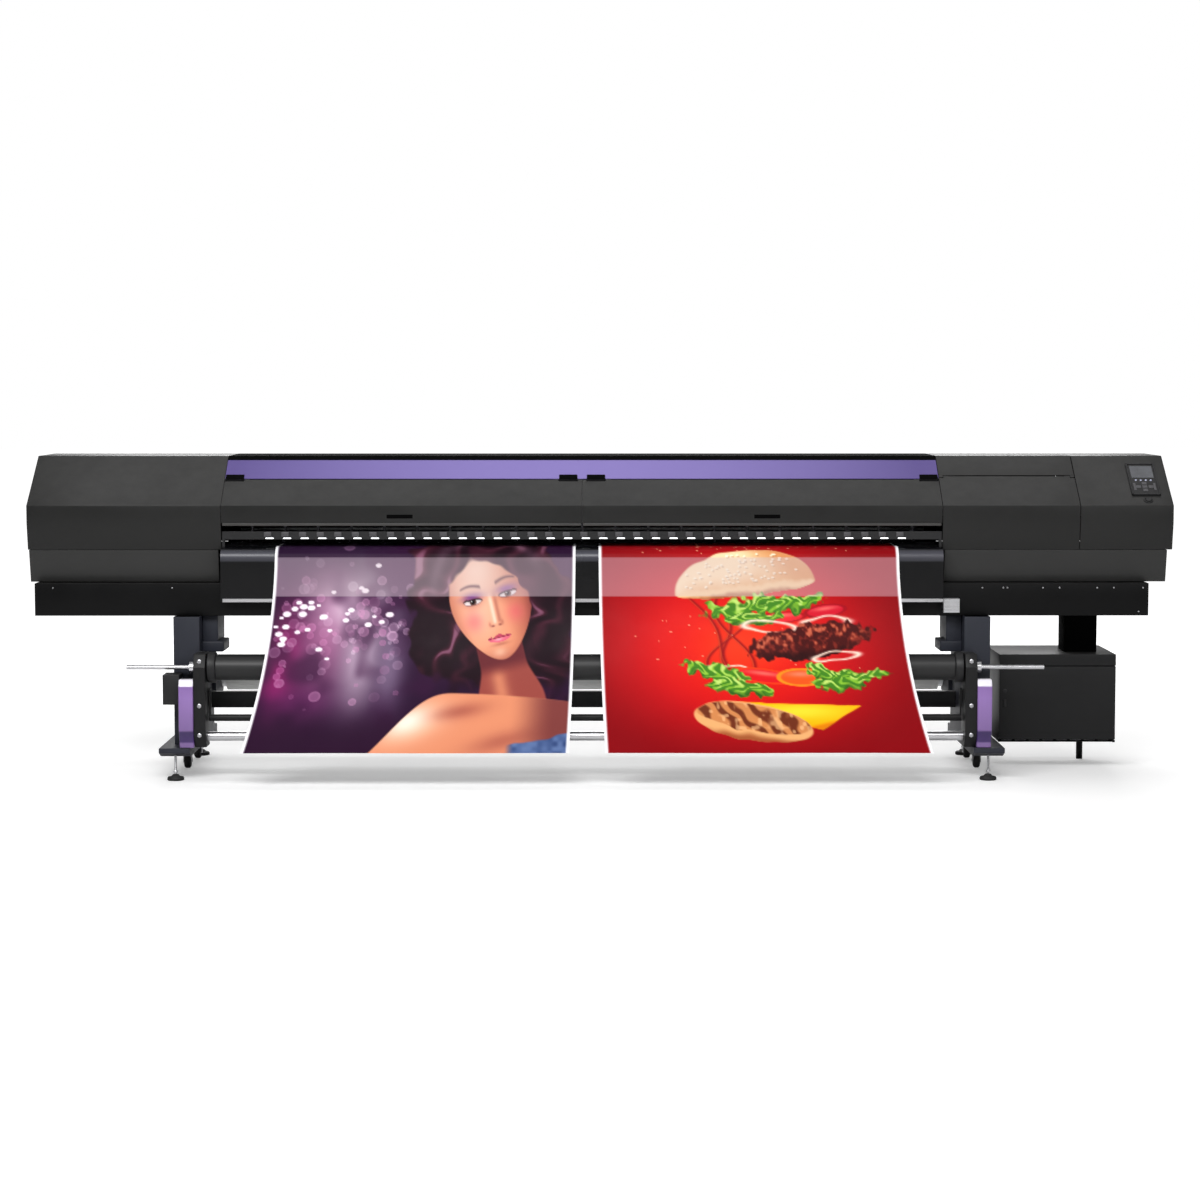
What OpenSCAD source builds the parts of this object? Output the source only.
// Grand-format roll printer on a two-leg stand, with a take-up unit in front,
// a supply unit behind and an ink cabinet under its right-hand end.
// Millimetres. +X is to the operator's right, +Y to the back, +Z up, and the floor is z = 0.

/* [Overall] */
// Width over the two end covers
overall_w = 5480; // [4900:10:6400]
// Height of the top cover above the floor
top_z = 1527; // [1440:1:1620]
// Depth of the head from its front face to its back face
head_d = 745; // [700:5:820]
// How far the printed media hangs out in front of the head
media_reach = 450; // [380:5:520]
// How far the stand reaches behind the front face of the head
stand_reach = 800; // [780:5:900]

/* [Head] */
// Width of the printing section between the end covers
work_w = 3447; // [3200:1:3560]
// Offset of the printing section from the middle of the machine
work_x = -88; // [-200:1:0]
// Height of the fold between the sloping and the upright part of the covers
fold_z = 1298; // [1280:1:1330]
// Depth that the sloping part of the covers runs back from the front
slope_d = 320; // [300:1:345]
// Height of the lower edge of the front covers
lip_z = 1215; // [1205:1:1235]
// Height of the seam between the upper and the lower covers
seam_z = 1086; // [1070:1:1090]
// How far the covers run back in between the lip and the seam
undercut = 25; // [0:1:40]
// Height of the lower edge of the lower covers
lower_z = 930; // [910:1:950]
// Wall of the end covers and lower covers
cover_wall = 4; // [3:0.5:6]
// Wall of the hinged covers
flap_wall = 3; // [2:0.5:4]
// Gap between neighbouring covers
cover_gap = 1.5; // [1:0.5:3]
// Distance up the slope at which the front covers are hinged
flap_run = 205; // [190:1:220]
// Distance up the slope at which the purple strip ends
accent_run = 358; // [330:1:370]
// Distance up the slope at which the maintenance cover is hinged
service_run = 231; // [215:1:260]
// Width of the maintenance cover
service_w = 659; // [560:1:760]

/* [Media path] */
// Height of the platen surface
platen_z = 1100; // [1090:1:1110]
// Thickness of the platen plates
platen_t = 12; // [8:1:16]
// Radius of the bend at the front edge of the platen
apron_r = 55; // [40:1:70]
// Depth of the grit roller behind the front face
grit_d = 330; // [300:1:350]
// Radius of the grit roller
grit_r = 15; // [12:0.5:18]
// Radius of the pinch rollers
pinch_r = 9; // [8:0.5:12]
// Number of pinch rollers
pinch_n = 20; // [12:1:26]
// Width of each web of media
media_w = 1430; // [1200:10:1500]
// Gap between the two webs of media
media_gap = 110; // [80:5:200]
// Thickness of a media web
media_t = 2; // [1:0.5:3]
// Height of the lower edge of the hanging media
media_z = 190; // [150:5:400]

/* [Carriage] */
// Width of the carriage
carriage_w = 420; // [340:10:480]
// X of the parked carriage
park_x = 2050; // [2000:10:2150]
// Radius of the drive belt pulley
pulley_r = 20; // [16:1:26]

/* [Stand] */
// Distance between the middles of the two legs
leg_pitch = 3775; // [3700:5:3900]
// Width of a leg
leg_w = 124; // [100:2:140]
// Depth of a leg from front to back
leg_d = 500; // [440:10:540]
// Height of the lower face of the base beam
beam_z = 770; // [740:1:800]
// Height of the base beam
beam_h = 156; // [140:1:158]
// Wall of the sheet-metal beam and legs
frame_wall = 5; // [4:0.5:8]
// Height of the lower face of the foot beams
foot_z = 112; // [100:1:120]
// Height of a foot beam
foot_h = 45; // [42:1:52]
// Radius of a leveller pad
pad_r = 40; // [30:1:50]
// Radius of a leveller screw
screw_r = 6; // [5:0.5:8]
// Radius of a castor wheel
castor_r = 40; // [34:1:44]

/* [Take-up unit] */
// Height of the take-up shaft
takeup_z = 535; // [525:1:560]
// Radius of the take-up shaft
shaft_r = 11; // [8:0.5:14]
// Free length of the take-up shaft outside each side plate
shaft_free = 300; // [200:10:320]
// Radius of the take-up tube
tube_r = 62; // [45:1:64]
// Radius of the tension bar
bar_r = 16.5; // [12:0.5:20]
// Radius of the cross tube between the side plates
cross_r = 22.5; // [18:0.5:26]

/* [Supply unit] */
// Radius of a full roll of media
roll_r = 85; // [60:1:88]
// Height of the supply shaft
supply_z = 430; // [420:5:500]

/* [Ink cabinet] */
// Width of the ink cabinet
cabinet_w = 566; // [480:2:600]
// Depth of the ink cabinet
cabinet_d = 473; // [400:1:490]
// Height of the ink cabinet's floor above the ground
cabinet_z = 133; // [120:1:150]
// Height of the ink cabinet
cabinet_h = 431; // [400:1:470]
// X of the ink cabinet's left side
cabinet_x = 1945; // [1940:1:2000]

/* [Fits] */
// Radial clearance of a turning pin or shaft in its bore
run_gap = 0.05; // [0.02:0.01:0.1]
// Clearance between parts that pass each other
pass_gap = 0.4; // [0.3:0.1:0.8]

/* [Hidden] */
$fn = 48;
round_fn = 96;

// The part is drawn with the head's front face at y = 0, then shifted so that y = 0 is mid-depth
y_shift = (media_reach - stand_reach) / 2;
half_w = overall_w / 2;
work_l = work_x - work_w / 2;
work_r = work_x + work_w / 2;
service_r = work_r + service_w;
eps = 1;

// Slope of the head, and the offset of a wall at its two bends
slope_a = atan2(top_z - fold_z, slope_d);
function on_slope(run, deep = 0) =
  [run * cos(slope_a) + deep * sin(slope_a), fold_z + run * sin(slope_a) - deep * cos(slope_a)];
function fold_in(w) = [w, fold_z - w * (1 - sin(slope_a)) / cos(slope_a)];
function brow_in(w) = [slope_d + w * (1 / cos(slope_a) - 1) / tan(slope_a), top_z - w];

// Hinges of the covers
hinge_deep = 5;
hinge_gap = 6.5;
knuckle_r = 5;
pin_r = 2.5;
pin_len = 16;
block_w = 90;
block_up = 9;
block_proud = 3;
notch_run = 15;
knuckle_len = 24;
lug_w = 20;
block_side = 22;
flap_ease = 1.5;
notch_cut = 40;
roof_lap = 60;
back_up = 40;
lip_back = 22;
cover_split = work_x;

// Stand
beam_d0 = 10;
beam_d1 = 520;
beam_l = -half_w + 32;
beam_r = half_w - 113;
beam_top = beam_z + beam_h;
leg_d0 = -50;
leg_l = work_x - leg_pitch / 2;
leg_r = work_x + leg_pitch / 2;
foot_out = 44;
foot_w = 146;
foot_l = leg_l - foot_out;
foot_r = leg_r + foot_out;
foot_d0 = -195;
foot_d1 = stand_reach;
foot_nose = 60;
foot_top = foot_z + foot_h;
level_d = [-150, stand_reach - 50];
castor_d = [261, stand_reach - 180];
pad_h = 16;
pad_neck = 17;
wheel_w = 30;
wheel_z = castor_r + 1;
axle_r = 5;
fork_t = 4;
fork_gap = 2;
fork_half = wheel_w / 2 + fork_gap;
fork_plate = [30, 8];
fork_leg = [16, 12];
stretch_z = 300;
stretch_h = 78;
stretch_d = 250;
stretch_t = 50;

// Platen and rollers
apron_front = -45;
apron_t = 3;
apron_low = 848;
apron_c = [apron_front + apron_r, platen_z - apron_r];
plate_front = apron_c[0] + 50;
slot_half = grit_r + 5;
plate_back = 470;
grit_z = platen_z - grit_r + 0.3;
journal_r = 8;
journal_len = 18;
pinch_z = grit_z + grit_r + 0.5 + pinch_r;
pinch_shaft_r = 3;
pinch_len = 40;
pinch_side = 200;
pinch_past = 20;
pinch_pitch = (work_w - pinch_side) / pinch_n;
eye_r = 8;
arm_t = 12;
arm_h = 20;
arm_low = 4;
rib_t = 6;
rib_n = 9;
rib_side = 40;
rib_in = 10;
bearing_half = 20;
post_r = 8;
post_short = 10;
post_x = [park_x - 100, park_x + 100];
cap_w = 300;
cap_d = [110, 290];
cap_low = 990;
cap_top = platen_z - 4;
cap_post_d = 200;

// Carriage drive
rail_front = 386;
carriage_beam_d = [400, 520];
carriage_beam_z = [1230, 1400];
beam_past = 100;
rail_past = 60;
end_t = 12;
end_d = 290;
rail_z = [1270, 1300];
carriage_d = 80;
carriage_step = 300;
carriage_low = platen_z + 6;
carriage_rear_z = platen_z + 50;
carriage_top = 1318;
carriage_nose = 30;
clamp_half = 30;
clamp_in = 20;
belt_w = 12;
belt_t = 1.5;
belt_z = 1362;
belt_d = 368;
belt_gap = 0.3;
pulley_x = [-half_w + 240, half_w - 240];
stub_r = 5;
pulley_w = 14;
pulley_rim = 6;
pulley_lip = 4;

// Lower covers
low_inset_l = 5;
low_inset_r = 24;
low_gap_l = 18;
low_gap_r = 14;
low_lean = 35;
low_top = seam_z - cover_gap;

// Lights, panel and edge rail
led_d = [14, 40];
led_z = [platen_z + 36, platen_z + 74];
led_n = 37;
led_side = 339;
led_pitch = (work_w - led_side) / led_n;
led_t = 3;
led_in = 3;
led_foot = 12;
led_shift = 18;
led_len = 45;
led_h = 8;
panel_x = [half_w - 185, half_w - 54];
panel_run = [80, 318];
panel_t = 6;
screen_run = [208, 300];
screen_in = 12;
screen_t = 1.5;
button_x = half_w - 116;
button_run = 42;
button_r = 14;
button_out = 6;
button_in = 8;
rail_h = 8;
rail_t = 4;
rail_inset = 10;
hook_w = 76;
hook_z = [789, 856];

// Take-up unit
take_d = -110;
bracket_w = 56;
bracket_l = leg_l + 78;
bracket_r = leg_r - 45;
bracket_d = [-200, -50];
bracket_cut = [40, 30, 60];
bracket_z = [foot_top + 1, 602];
collar_r = 28;
collar_w = 25;
collar_gap = 2;
tube_gap = 10;
trim_w = 69;
trim_d = [-214, -150];
trim_toe = [22, 30, 85];
trim_brow = [18, 32];
trim_z = [foot_top + 1, 485];
motor_w = 78;
motor_z = [362, 504];
motor_d = [-168, -50];
arm_z = 420;
arm_d = -80;
arm_len = 130;
dancer_pin_r = 6;
dancer_arm_w = 10;
dancer_eye = 12;
cross_z = 205;
cross_d = -105;

// Supply unit
supply_d = 640;
supply_in = 6;
supply_t = 12;
supply_h = 90;
supply_lap = 60;
supply_eye = 40;
core_t = 15;

// Ink cabinet
skin_t = 2.5;
door_t = 16;
door_d = 200;
door_gap = 3.5;
door_pin = [6, 8];
door_pin_r = 3;
door_pin_len = 20;
door_bore = 22;
door_inset = 14;
door_drop = 19;
lug_t = 10;
neck_x = [333, 494];
neck_d = [335, 500];
tank_n = 8;
tank_w = 50;
tank_d = 300;
tank_h = 230;
tank_in = 10;
tank_back = 40;
tank_cap = [22, 16];
cab_leg_r = 16;
cab_leg = [461, 594];

// Media
web_gap = 0.3;
web_off = 4;
web_in = 8;
web_fall = 60;
web_shift = 24;
turn_steps = 8;
web_start = grit_d - slot_half - web_in;
web_bend = apron_r + web_gap;
web_drop = platen_z - web_fall;
web_power = 1.8;
web_steps = 24;
web_l = work_x + web_shift - media_gap / 2 - media_w;
web_r = work_x + web_shift + media_gap / 2;

module placed() {
  translate([0, y_shift, 0]) children();
}

// Extrudes a (depth, height) outline from x0 to x1
module along_x(x0, x1) {
  translate([x0, 0, 0]) rotate([90, 0, 90]) linear_extrude(x1 - x0) children();
}

// A box from its two corners
module block(x, d, z) {
  translate([x[0], d[0], z[0]]) cube([x[1] - x[0], d[1] - d[0], z[1] - z[0]]);
}

// A cylinder along X
module rod(x0, x1, d, z, r) {
  translate([x0, d, z]) rotate([0, 90, 0]) cylinder(h = x1 - x0, r = r);
}

// A frame on the slope: y runs uphill and z points out of it
module slope_frame() {
  translate([0, 0, fold_z]) rotate([slope_a, 0, 0]) children();
}

module base_beam() {
  color([0.08, 0.08, 0.09]) placed() difference() {
    block([beam_l, beam_r], [beam_d0, beam_d1], [beam_z, beam_top]);
    block([beam_l - eps, beam_r + eps], [beam_d0 + frame_wall, beam_d1 - frame_wall],
          [beam_z + frame_wall, beam_top - frame_wall]);
  }
}

module leg(x) {
  color([0.2, 0.21, 0.24]) placed() difference() {
    block([x - leg_w / 2, x + leg_w / 2], [leg_d0, leg_d0 + leg_d], [foot_top, beam_z]);
    block([x - leg_w / 2 + frame_wall, x + leg_w / 2 - frame_wall],
          [leg_d0 + frame_wall, leg_d0 + leg_d - frame_wall], [foot_top - eps, beam_z + eps]);
  }
}

module foot_beam(x) {
  color([0.2, 0.21, 0.24]) placed() difference() {
    along_x(x - foot_w / 2, x + foot_w / 2) polygon([
      [foot_d0, foot_z + foot_h / 2], [foot_d0 + foot_nose, foot_z],
      [foot_d1, foot_z], [foot_d1, foot_top], [foot_d0, foot_top],
    ]);
    block([x - foot_w / 2 + frame_wall, x + foot_w / 2 - frame_wall],
          [foot_d0 + foot_nose, foot_d1 - frame_wall], [foot_z + frame_wall, foot_top - frame_wall]);
    for (d = level_d) translate([x, d, foot_z - eps])
      cylinder(h = foot_h - frame_wall + eps, r = screw_r + run_gap);
  }
}

module stretcher() {
  color([0.07, 0.07, 0.08]) placed()
    block([leg_l + leg_w / 2, leg_r - leg_w / 2], [stretch_d, stretch_d + stretch_t],
          [stretch_z, stretch_z + stretch_h]);
}

module platen() {
  color([0.25, 0.25, 0.27]) placed() {
    block([work_l, work_r], [plate_front, grit_d - slot_half], [platen_z - platen_t, platen_z]);
    block([work_l, work_r], [grit_d + slot_half, plate_back], [platen_z - platen_t, platen_z]);
    along_x(work_l, work_r) difference() {
      bend(plate_back, platen_z - apron_r, apron_r);
      bend(plate_back, platen_z - apron_r, apron_r - apron_t);
    }
  }
}

// A quarter round that turns from the back of a plate to the floor, with a straight drop
module bend(d, z, r) {
  intersection() {
    translate([d, z]) circle(r = r, $fn = round_fn);
    translate([d, z]) square(r + eps);
  }
  translate([d, z - apron_r]) square([r, apron_r]);
}

// The ribs that carry the platen, the roller bearings and the guide posts of the cap station
module platen_supports() {
  color([0.3, 0.3, 0.32]) placed() {
    for (i = [0 : rib_n - 1]) {
      x = work_l + rib_side + i * (work_w - 2 * rib_side - rib_t) / (rib_n - 1);
      block([x, x + rib_t], [beam_d0 + rib_in, grit_d - slot_half - rib_in],
            [beam_top, platen_z - platen_t]);
      block([x, x + rib_t], [grit_d + slot_half + rib_in, plate_back], [beam_top, platen_z - platen_t]);
    }
    for (x = [work_l - journal_len, work_r]) difference() {
      block([x, x + journal_len], [grit_d - bearing_half, grit_d + bearing_half], [beam_top, platen_z + 2]);
      rod(x - eps, x + journal_len + eps, grit_d, grit_z, journal_r + run_gap);
    }
    for (x = post_x) translate([x, cap_post_d, beam_top])
      cylinder(h = cap_top - beam_top - post_short, r = post_r);
  }
}

module front_apron() {
  color([0.12, 0.12, 0.13]) placed() along_x(work_l, work_r) {
    difference() {
      apron_outline(apron_r);
      apron_outline(apron_r - apron_t);
    }
    translate([apron_c[0], platen_z - apron_t]) square([plate_front - apron_c[0], apron_t]);
  }
}

module apron_outline(r) {
  intersection() {
    translate(apron_c) circle(r = r, $fn = round_fn);
    translate([apron_c[0] - r - eps, apron_c[1]]) square(r + eps);
  }
  translate([apron_c[0] - r, apron_low]) square([r, apron_c[1] - apron_low]);
}

module edge_rail() {
  color([0.75, 0.75, 0.77]) placed() {
    block([work_l + rail_inset, work_r], [apron_front - rail_t, apron_front],
          [apron_low - rail_h, apron_low + rail_h]);
    block([work_r + 2, work_r + 2 + hook_w], [apron_front - rail_t, beam_d0], hook_z);
  }
}

// The box beam that carries the carriage rail, the belt stubs and the pinch-roller arms
module carriage_beam() {
  color([0.45, 0.46, 0.48]) placed() {
    difference() {
      block([pulley_x[0] - beam_past, pulley_x[1] + beam_past], carriage_beam_d, carriage_beam_z);
      block([pulley_x[0] - beam_past - eps, pulley_x[1] + beam_past + eps],
            [carriage_beam_d[0] + frame_wall, carriage_beam_d[1] - frame_wall],
            [carriage_beam_z[0] + frame_wall, carriage_beam_z[1] - frame_wall]);
    }
    block([pulley_x[0] - rail_past, pulley_x[1] + rail_past], [rail_front, carriage_beam_d[0]], rail_z);
    for (x = pulley_x) translate([x, belt_d - 4, belt_z]) rotate([-90, 0, 0])
      cylinder(h = carriage_beam_d[0] - belt_d + 4, r = stub_r);
    for (i = [0 : pinch_n]) pinch_arm(pinch_x(i) - pinch_pitch / 2 - arm_t / 2);
  }
}

function pinch_x(i) = work_x - (pinch_n - 1) * pinch_pitch / 2 + i * pinch_pitch;

module pinch_arm(x) {
  difference() {
    along_x(x, x + arm_t) {
      translate([grit_d, pinch_z]) circle(r = eye_r);
      translate([grit_d, pinch_z - arm_low]) square([carriage_beam_d[0] + arm_low + arm_h - grit_d, arm_h]);
      translate([carriage_beam_d[0] + arm_low, pinch_z - arm_low])
        square([arm_h, carriage_beam_z[0] - pinch_z + arm_low]);
    }
    rod(x - eps, x + arm_t + eps, grit_d, pinch_z, pinch_shaft_r + run_gap);
  }
}

module end_frames() {
  color([0.3, 0.3, 0.32]) placed() for (x = [pulley_x[0] - beam_past - end_t, pulley_x[1] + beam_past])
    block([x, x + end_t], [beam_d0 + end_d, beam_d1], [beam_top, carriage_beam_z[1]]);
}

// The outline of the head between depths 0 and head_d, moved in by a wall w
module head_outline(w) {
  polygon([
    [undercut + w, seam_z - w / 4], [w, lip_z], fold_in(w), brow_in(w),
    [head_d - w, top_z - w], [head_d - w, seam_z - w / 4],
  ]);
}

module head_shell(x0, x1, w) {
  along_x(x0, x1) difference() {
    head_outline(0);
    head_outline(w);
  }
}

module left_end_cover() {
  color([0.32, 0.32, 0.31]) placed() {
    head_shell(-half_w + cover_wall, work_l - cover_gap, cover_wall);
    along_x(-half_w, -half_w + cover_wall) head_outline(0);
  }
}

module right_end_cover() {
  color([0.28, 0.28, 0.28]) placed() difference() {
    union() {
      head_shell(service_r + cover_gap, half_w - cover_wall, cover_wall);
      along_x(half_w - cover_wall, half_w) head_outline(0);
    }
    slope_frame() translate([button_x, button_run, -cover_wall - eps])
      cylinder(h = cover_wall + 2 * eps, r = button_r + pass_gap);
  }
}

module low_outline(w) {
  polygon([
    [undercut + low_lean + w, lower_z - eps * w / cover_wall], [undercut + w, low_top + eps * w / cover_wall],
    [head_d - w, low_top + eps * w / cover_wall], [head_d - w, lower_z - eps * w / cover_wall],
  ]);
}

module lower_cover(x0, x1, outer) {
  along_x(x0, x1) difference() {
    low_outline(0);
    low_outline(cover_wall);
  }
  along_x(outer, outer + cover_wall) low_outline(0);
}

module left_lower_cover() {
  color([0.25, 0.25, 0.25]) placed()
    lower_cover(-half_w + low_inset_l, work_l - low_gap_l, -half_w + low_inset_l);
}

module right_lower_cover() {
  color([0.25, 0.25, 0.25]) placed()
    lower_cover(work_r + low_gap_r, half_w - low_inset_r, half_w - low_inset_r - cover_wall);
}

// The fixed skin from a place up the slope, over the top and down the back to z
module brow_skin(x0, x1, run, w, z) {
  along_x(x0, x1) polygon([
    on_slope(run), [slope_d, top_z], [head_d, top_z], [head_d, z], [head_d - w, z],
    [head_d - w, top_z - w], brow_in(w), on_slope(run, w),
  ]);
}

module service_top() {
  color([0.28, 0.28, 0.28]) placed() {
    brow_skin(work_r + cover_gap, service_r - cover_gap, service_run + hinge_gap, cover_wall, seam_z);
    for (x = [work_r + cover_gap, service_r - cover_gap - lug_w]) hinge_lug(x, x + lug_w, service_run, 0);
    hinge_pin(work_r + cover_gap + lug_w, service_run);
    hinge_pin(service_r - cover_gap - lug_w - pin_len, service_run);
  }
}

module accent_strip() {
  color([0.5, 0.43, 0.7]) placed() along_x(work_l, work_r - cover_gap) polygon([
    on_slope(flap_run + hinge_gap), on_slope(accent_run),
    on_slope(accent_run, flap_wall), on_slope(flap_run + hinge_gap, flap_wall),
  ]);
}

module roof_cover() {
  color([0.06, 0.06, 0.07]) placed()
    brow_skin(work_l, work_r - cover_gap, accent_run + cover_gap, flap_wall, top_z - roof_lap);
}

module back_cover() {
  color([0.15, 0.15, 0.16]) placed()
    block([work_l, work_r - cover_gap], [head_d - flap_wall, head_d],
          [platen_z + back_up, top_z - roof_lap - cover_gap]);
}

// A fixed block around a hinge line, from x0 to x1 at a run up the slope
module hinge_lug(x0, x1, run, proud) {
  slope_frame() translate([x0, run - block_up, -2 * hinge_deep])
    cube([x1 - x0, block_up + hinge_gap - pass_gap, 2 * hinge_deep + proud]);
}

module hinge_pin(x0, run) {
  slope_frame() rod(x0, x0 + pin_len, run, -hinge_deep, pin_r);
}

block_x = [work_l + 2, cover_split - block_side - block_w, cover_split + block_side,
           work_r - cover_gap - block_w - 2];

module hinge_blocks() {
  color([0.08, 0.07, 0.1]) placed() for (i = [0 : 3]) {
    hinge_lug(block_x[i], block_x[i] + block_w, flap_run, block_proud);
    hinge_pin(i % 2 == 0 ? block_x[i] + block_w : block_x[i] - pin_len, flap_run);
  }
}

// A hinged cover from x0 to x1: foot holds its points below the fold, outside then inside
module flap(x0, x1, run, w, foot, notches, knuckles) {
  difference() {
    union() {
      along_x(x0, x1) polygon(concat(
        [on_slope(run - flap_ease, w), fold_in(w)], foot, [[0, fold_z], on_slope(run - flap_ease)]));
      slope_frame() for (x = knuckles) {
        rod(x, x + knuckle_len, run, -hinge_deep, knuckle_r);
        translate([x, run - notch_run, -w - 3]) cube([knuckle_len, notch_run - 3, w + 2]);
      }
    }
    slope_frame() {
      for (n = notches) translate([n[0] - flap_ease, run - notch_run, -notch_cut / 2])
        cube([n[1] - n[0] + 2 * flap_ease, notch_cut, notch_cut]);
      for (x = knuckles) rod(x - eps, x + knuckle_len + eps, run, -hinge_deep, pin_r + run_gap);
    }
  }
}

front_foot = [[flap_wall, lip_z + flap_wall], [lip_back, lip_z + flap_wall], [lip_back, lip_z], [0, lip_z]];

module front_cover(x0, x1, a, b) {
  flap(x0, x1, flap_run, flap_wall, front_foot,
       [[block_x[a] - 1, block_x[a] + block_w + 1], [block_x[b] - 1, block_x[b] + block_w + 1]],
       [block_x[a] + block_w + 2, block_x[b] - knuckle_len - 2]);
}

module front_cover_left() {
  color([0.3, 0.3, 0.29]) placed() front_cover(work_l, cover_split - cover_gap / 2, 0, 1);
}

module front_cover_right() {
  color([0.3, 0.3, 0.29]) placed() front_cover(cover_split + cover_gap / 2, work_r - cover_gap, 2, 3);
}

module service_cover() {
  l = work_r + cover_gap;
  r = service_r - cover_gap;
  color([0.28, 0.28, 0.28]) placed() flap(l, r, service_run, cover_wall,
    [[cover_wall, lip_z], [undercut + cover_wall, seam_z], [undercut, seam_z], [0, lip_z]],
    [[l - eps, l + lug_w + 1], [r - lug_w - 1, r + eps]],
    [l + lug_w + 2, r - lug_w - 2 - knuckle_len]);
}

module led_bar() {
  color([0.1, 0.1, 0.1]) placed() {
    block([work_l + led_in, work_r - led_in], led_d, led_z);
    for (x = [work_l + led_in, work_r - led_in - led_foot])
      block([x, x + led_foot], led_d, [platen_z, led_z[0]]);
  }
}

module led_lenses() {
  color([0.95, 0.97, 1]) placed() for (i = [0 : led_n - 1]) {
    x = work_x + led_shift + (i - (led_n - 1) / 2) * led_pitch;
    block([x - led_len / 2, x + led_len / 2], [led_d[0] - led_t, led_d[0]],
          [led_z[0] + 2, led_z[0] + 2 + led_h]);
  }
}

module control_panel() {
  color([0.06, 0.06, 0.07]) placed() slope_frame()
    block(panel_x, panel_run, [0, panel_t]);
}

module display() {
  color([0.55, 0.65, 0.7]) placed() slope_frame()
    block([panel_x[0] + screen_in, panel_x[1] - screen_in], screen_run, [panel_t, panel_t + screen_t]);
}

module stop_button() {
  color([0.05, 0.05, 0.05]) placed() slope_frame() translate([button_x, button_run, -button_in]) {
    cylinder(h = button_in + button_out, r = button_r);
  }
}

module carriage() {
  color([0.2, 0.2, 0.22]) placed() {
    along_x(park_x - carriage_w / 2, park_x + carriage_w / 2) polygon([
      [carriage_d + carriage_nose, carriage_low], [carriage_step, carriage_low],
      [carriage_step, carriage_rear_z],
      [rail_front - pass_gap, carriage_rear_z], [rail_front - pass_gap, carriage_top],
      [carriage_d, carriage_top], [carriage_d, carriage_low + 2 * carriage_nose],
    ]);
    block([park_x - clamp_half, park_x + clamp_half], [belt_d - clamp_in, rail_front - pass_gap],
          [carriage_top, belt_z - pulley_r - belt_gap - belt_t - 1]);
  }
}

module loop_outline(r) {
  for (x = pulley_x) translate([x, belt_z]) circle(r = r, $fn = round_fn);
  translate([pulley_x[0], belt_z - r]) square([pulley_x[1] - pulley_x[0], 2 * r]);
}

module timing_belt() {
  color([0.1, 0.1, 0.1]) placed() translate([0, belt_d + belt_w, 0]) rotate([90, 0, 0])
    linear_extrude(belt_w) difference() {
      loop_outline(pulley_r + belt_gap + belt_t);
      loop_outline(pulley_r + belt_gap);
    }
}

module pulley(x) {
  color([0.7, 0.7, 0.72]) placed() translate([x, belt_d - 1, belt_z]) rotate([-90, 0, 0]) difference() {
    union() {
      cylinder(h = pulley_w, r = pulley_r);
      translate([0, 0, pulley_w + 0.5]) cylinder(h = 2, r = pulley_r + pulley_lip);
      cylinder(h = pulley_w + 1, r = pulley_r - pulley_rim);
    }
    translate([0, 0, -eps]) cylinder(h = pulley_w + 5, r = stub_r + run_gap);
  }
}

module grit_roller() {
  color([0.6, 0.6, 0.62]) placed() {
    rod(work_l + 2, work_r - 2, grit_d, grit_z, grit_r);
    rod(work_l - journal_len - 4, work_r + journal_len + 4, grit_d, grit_z, journal_r);
  }
}

module pinch_rollers() {
  color([0.1, 0.1, 0.1]) placed() {
    rod(pinch_x(0) - pinch_pitch / 2 - pinch_past, pinch_x(pinch_n - 1) + pinch_pitch / 2 + pinch_past,
        grit_d, pinch_z, pinch_shaft_r);
    for (i = [0 : pinch_n - 1])
      rod(pinch_x(i) - pinch_len / 2, pinch_x(i) + pinch_len / 2, grit_d, pinch_z, pinch_r);
  }
}

module cap_station() {
  color([0.2, 0.2, 0.2]) placed() difference() {
    block([park_x - cap_w / 2, park_x + cap_w / 2], cap_d, [cap_low, cap_top]);
    for (x = post_x) translate([x, cap_post_d, cap_low - eps])
      cylinder(h = cap_top - cap_low + 2 * eps, r = post_r + run_gap);
  }
}

module takeup_brackets() {
  color([0.13, 0.14, 0.16]) placed() for (x = [bracket_l, bracket_r]) difference() {
    along_x(x - bracket_w / 2, x + bracket_w / 2) polygon([
      [bracket_d[0] + bracket_cut[0], bracket_z[0]], [bracket_d[1], bracket_z[0]],
      [bracket_d[1], bracket_z[1]], [bracket_d[0] + bracket_cut[1], bracket_z[1]],
      [bracket_d[0], bracket_z[1] - bracket_cut[2]], [bracket_d[0], bracket_z[0] + bracket_cut[2]],
    ]);
    rod(x - bracket_w / 2 - eps, x + bracket_w / 2 + eps, take_d, takeup_z, shaft_r + run_gap);
    rod(x - bracket_w / 2 - eps, x + bracket_w / 2 + eps, arm_d, arm_z, dancer_pin_r + run_gap);
  }
}

module bracket_trims() {
  color([0.65, 0.57, 0.8]) placed()
    for (x = [bracket_l - bracket_w / 2 - trim_w, bracket_r + bracket_w / 2])
      along_x(x, x + trim_w) polygon([
        [trim_d[0] + trim_toe[0], trim_z[0]], [trim_d[1], trim_z[0]], [trim_d[1], trim_z[1]],
        [trim_d[0] + trim_brow[0], trim_z[1]], [trim_d[0], trim_z[1] - trim_brow[1]],
        [trim_d[0], trim_z[0] + trim_toe[2]], [trim_d[0] + trim_toe[0], trim_z[0] + trim_toe[1]],
      ]);
}

module takeup_motor() {
  x = bracket_l - bracket_w / 2 - trim_w - 2;
  color([0.1, 0.1, 0.11]) placed() block([x - motor_w, x], motor_d, motor_z);
}

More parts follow.
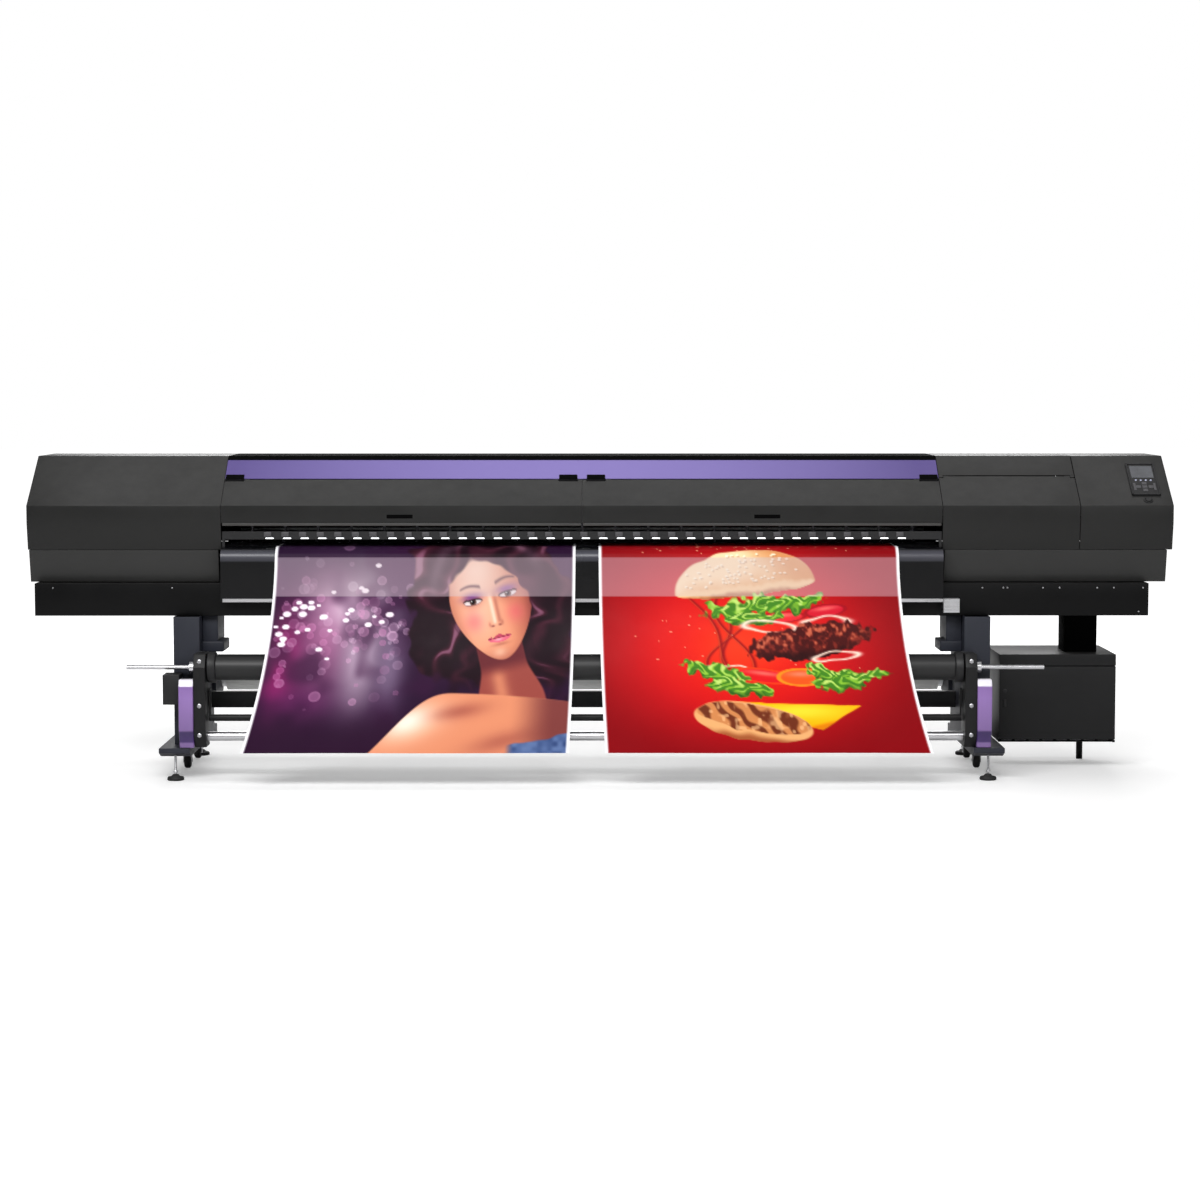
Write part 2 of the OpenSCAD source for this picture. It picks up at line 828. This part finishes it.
module takeup_shaft() {
  l = bracket_l - bracket_w / 2 - collar_gap;
  r = bracket_r + bracket_w / 2 + collar_gap;
  color([0.75, 0.75, 0.77]) placed() {
    rod(l - collar_w - shaft_free, r + collar_w + shaft_free, take_d, takeup_z, shaft_r);
    rod(l - collar_w, l, take_d, takeup_z, collar_r);
    rod(r, r + collar_w, take_d, takeup_z, collar_r);
  }
}

module takeup_tube() {
  color([0.22, 0.2, 0.2]) placed() difference() {
    rod(bracket_l + bracket_w / 2 + tube_gap, bracket_r - bracket_w / 2 - tube_gap, take_d, takeup_z, tube_r);
    rod(bracket_l, bracket_r, take_d, takeup_z, shaft_r);
  }
}

module tension_bar() {
  l = bracket_l + bracket_w / 2 + 3;
  r = bracket_r - bracket_w / 2 - 3;
  color([0.15, 0.15, 0.16]) placed() {
    rod(l, r, arm_d, arm_z - arm_len, bar_r);
    for (x = [l, r - dancer_arm_w]) {
      block([x, x + dancer_arm_w], [arm_d - dancer_eye, arm_d + dancer_eye], [arm_z - arm_len, arm_z]);
      rod(x, x + dancer_arm_w, arm_d, arm_z, dancer_eye);
    }
    rod(l - bracket_w - 1, l + eps, arm_d, arm_z, dancer_pin_r);
    rod(r - eps, r + bracket_w + 1, arm_d, arm_z, dancer_pin_r);
  }
}

module cross_tube() {
  color([0.75, 0.75, 0.77]) placed()
    rod(bracket_l + bracket_w / 2, bracket_r - bracket_w / 2, cross_d, cross_z, cross_r);
}

supply_l = leg_l + leg_w / 2 + supply_in;
supply_rr = leg_r - leg_w / 2 - supply_in;

module supply_brackets() {
  color([0.2, 0.21, 0.24]) placed() for (x = [supply_l, supply_rr - supply_t]) {
    difference() {
      along_x(x, x + supply_t) {
        translate([leg_d0 + leg_d - supply_lap, supply_z - supply_h])
          square([supply_d - leg_d0 - leg_d + supply_lap, supply_h]);
        translate([leg_d0 + leg_d - supply_lap, supply_z - supply_h])
          square([supply_lap, supply_h + supply_lap]);
        translate([supply_d, supply_z]) circle(r = supply_eye);
        translate([supply_d - supply_eye, supply_z - supply_h]) square([2 * supply_eye, supply_h]);
      }
      rod(x - eps, x + supply_t + eps, supply_d, supply_z, shaft_r + run_gap);
    }
    block(x == supply_l ? [x - supply_in, x] : [x + supply_t, x + supply_t + supply_in],
          [leg_d0 + leg_d - supply_lap, leg_d0 + leg_d - frame_wall],
          [supply_z - supply_h, supply_z + supply_lap]);
  }
}

module supply_shaft() {
  color([0.75, 0.75, 0.77]) placed() {
    rod(supply_l - supply_in + 1, supply_rr + supply_in - 1, supply_d, supply_z, shaft_r);
    for (x = [supply_l + supply_t + 2, supply_rr - supply_t - 2 - collar_w])
      rod(x, x + collar_w, supply_d, supply_z, roll_r - core_t);
  }
}

module supply_roll() {
  l = supply_l + supply_t + 2 + collar_w;
  r = supply_rr - supply_t - 2 - collar_w;
  color([0.93, 0.93, 0.92]) placed() difference() {
    rod(l, r, supply_d, supply_z, roll_r);
    rod(l - eps, r + eps, supply_d, supply_z, shaft_r);
  }
}

cab_r = cabinet_x + cabinet_w;
cab_top = cabinet_z + cabinet_h;
cab_front = door_d + door_t + door_gap;
// The door swings out under the take-up shaft's free end
door_top = takeup_z - shaft_r - door_drop;
header_z = door_top + door_inset - lug_t;

module cabinet_body() {
  color([0.16, 0.16, 0.16]) placed() {
    difference() {
      block([cabinet_x, cab_r], [cab_front, door_d + cabinet_d], [cabinet_z, cab_top]);
      block([cabinet_x + skin_t, cab_r - skin_t], [cab_front - eps, door_d + cabinet_d - skin_t],
            [cabinet_z + skin_t, cab_top - skin_t]);
    }
    block([cab_r - 2 * door_pin[0], cab_r], [door_d, cab_front], [cabinet_z, cabinet_z + lug_t]);
    block([cabinet_x, cab_r], [door_d, cab_front], [header_z, cab_top]);
    translate([cab_r - door_pin[0], door_d + door_pin[1], 0]) {
      translate([0, 0, cabinet_z + lug_t]) cylinder(h = door_pin_len, r = door_pin_r);
      translate([0, 0, header_z - door_pin_len]) cylinder(h = door_pin_len, r = door_pin_r);
    }
    translate([cabinet_x + cab_leg[0], cab_leg[1], 0]) cylinder(h = cabinet_z, r = cab_leg_r);
  }
}

module cabinet_door() {
  color([0.16, 0.16, 0.16]) placed() difference() {
    block([cabinet_x, cab_r], [door_d, door_d + door_t], [cabinet_z + door_inset, door_top]);
    for (z = [cabinet_z + door_inset - eps, door_top - door_bore])
      translate([cab_r - door_pin[0], door_d + door_pin[1], z])
        cylinder(h = door_bore + eps, r = door_pin_r + run_gap);
  }
}

module cabinet_neck() {
  color([0.12, 0.12, 0.12]) placed() difference() {
    block([cabinet_x + neck_x[0], cabinet_x + neck_x[1]], neck_d, [cab_top, beam_z]);
    block([cabinet_x + neck_x[0] + skin_t, cabinet_x + neck_x[1] - skin_t],
          [neck_d[0] + skin_t, neck_d[1] - skin_t], [cab_top - eps, beam_z + eps]);
  }
}

module ink_tanks() {
  pitch = (cabinet_w - 2 * skin_t - 2 * tank_in) / tank_n;
  color([0.85, 0.85, 0.85]) placed() for (i = [0 : tank_n - 1]) {
    x = cabinet_x + skin_t + tank_in + (i + 0.5) * pitch;
    block([x - tank_w / 2, x + tank_w / 2], [cab_front + tank_back, cab_front + tank_back + tank_d],
          [cabinet_z + skin_t, cabinet_z + skin_t + tank_h]);
    translate([x, cab_front + 2 * tank_back, cabinet_z + skin_t + tank_h])
      cylinder(h = tank_cap[0], r = tank_cap[1]);
  }
}

module leveller(x, d) {
  color([0.12, 0.12, 0.12]) placed() translate([x, d, 0]) {
    cylinder(h = pad_h, r = pad_r);
    cylinder(h = pad_h + pad_neck, r = 2 * screw_r);
    cylinder(h = foot_top - frame_wall - eps, r = screw_r);
  }
}

module castor_forks() {
  color([0.5, 0.5, 0.52]) placed() for (x = [foot_l, foot_r], d = castor_d) {
    block([x - fork_half - fork_t, x + fork_half + fork_t], [d - fork_plate[0], d + fork_plate[0]],
          [foot_z - fork_plate[1], foot_z]);
    for (s = [x - fork_half - fork_t, x + fork_half])
      block([s, s + fork_t], [d - fork_leg[0], d + fork_leg[0]],
            [wheel_z - fork_leg[1], foot_z - fork_plate[1]]);
    rod(x - fork_half - fork_t - 2, x + fork_half + fork_t + 2, d, wheel_z, axle_r);
  }
}

module wheel(x, d) {
  color([0.1, 0.1, 0.1]) placed() difference() {
    rod(x - wheel_w / 2, x + wheel_w / 2, d, wheel_z, castor_r);
    rod(x - wheel_w, x + wheel_w, d, wheel_z, axle_r + run_gap);
  }
}

// Depth and height of the hanging web, moved out by k
function web_d(z) = apron_front - web_gap - web_off
  - (media_reach + apron_front - media_t - web_off - web_gap)
  * pow(max(0, web_drop - z) / (web_drop - media_z), web_power);
function web_hang(k) = [for (i = [0 : web_steps]) let (z = web_drop - i * (web_drop - media_z) / web_steps)
  [web_d(z) - k, z]];
function web_turn(k) = [for (i = [0 : turn_steps]) let (a = 90 + i * 90 / turn_steps)
  [apron_c[0] + (web_bend + web_off + k) * cos(a), apron_c[1] + (web_bend + k) * sin(a)]];

// Two printed webs that leave the platen, turn over its front bend and sweep out to the operator
module media_webs() {
  color([0.75, 0.3, 0.45]) placed() for (x = [web_l, web_r]) along_x(x, x + media_w) polygon(concat(
    [[web_start, platen_z + web_gap + media_t]], web_turn(media_t), web_hang(media_t),
    [for (i = [0 : web_steps]) web_hang(0)[web_steps - i]],
    [for (i = [0 : turn_steps]) web_turn(0)[turn_steps - i]],
    [[web_start, platen_z + web_gap]]));
}

base_beam();
leg(leg_l);  // leg_left
leg(leg_r);  // leg_right
foot_beam(foot_l);  // foot_beam_left
foot_beam(foot_r);  // foot_beam_right
stretcher();
platen();
platen_supports();
front_apron();
edge_rail();
carriage_beam();
end_frames();
left_end_cover();
left_lower_cover();
right_end_cover();
right_lower_cover();
service_top();
accent_strip();
roof_cover();
back_cover();
hinge_blocks();
led_bar();
led_lenses();
control_panel();
display();
stop_button();
front_cover_left();
front_cover_right();
service_cover();
carriage();
timing_belt();
pulley(pulley_x[1]);  // drive_pulley
pulley(pulley_x[0]);  // idler_pulley
grit_roller();
pinch_rollers();
cap_station();
takeup_brackets();
bracket_trims();
takeup_motor();
takeup_shaft();
takeup_tube();
tension_bar();
cross_tube();
supply_brackets();
supply_shaft();
supply_roll();
cabinet_body();
cabinet_neck();
cabinet_door();
ink_tanks();
leveller(foot_l, level_d[0]);  // leveller_front_left
leveller(foot_r, level_d[0]);  // leveller_front_right
leveller(foot_l, level_d[1]);  // leveller_rear_left
leveller(foot_r, level_d[1]);  // leveller_rear_right
castor_forks();
wheel(foot_l, castor_d[0]);  // wheel_front_left
wheel(foot_r, castor_d[0]);  // wheel_front_right
wheel(foot_l, castor_d[1]);  // wheel_rear_left
wheel(foot_r, castor_d[1]);  // wheel_rear_right
media_webs();
